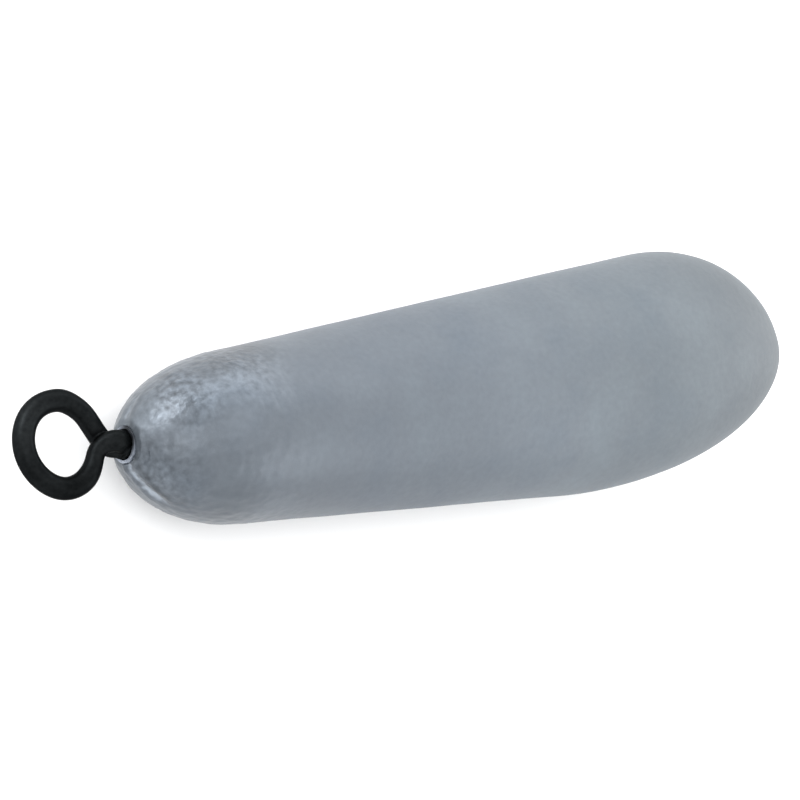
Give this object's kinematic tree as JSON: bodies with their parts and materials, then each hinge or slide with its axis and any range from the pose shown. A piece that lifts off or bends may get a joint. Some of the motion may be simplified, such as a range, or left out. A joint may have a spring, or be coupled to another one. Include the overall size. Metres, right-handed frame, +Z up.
{
  "type": "fishing sinker",
  "caption": "Oval, tapered cast-lead fishing sinker with a round wire line eye that turns in a barrel swivel cast into its nose.",
  "frame": {"origin": "middle of the bounding box, at the level, slightly flattened underside that the sinker lies on", "axes": "+X from the line eye to the heel of the lead, +Y across the lead along the mould's parting plane, towards its fuller edge, +Z up"},
  "size_m": [0.0678, 0.0166, 0.0133],
  "materials": {
    "cast_lead": "dull grey, as cast",
    "nickelled_brass": "nickel plated, dulled by the casting heat",
    "blackened_wire": "black nickel, satin"
  },
  "bodies": {
    "sinker": {"lead_body": "cast_lead", "swivel_barrel": "nickelled_brass", "anchor_eye": "blackened_wire"},
    "eye": {"line_eye": "blackened_wire"}
  },
  "joints": [
    {"name": "eye_swivel", "type": "hinge", "parent": "sinker", "child": "eye", "pos_m": [-0.02526, 0.00069, 0.00573], "axis": [-0.9888, 0.1478, -0.0197], "continuous": true}
  ]
}
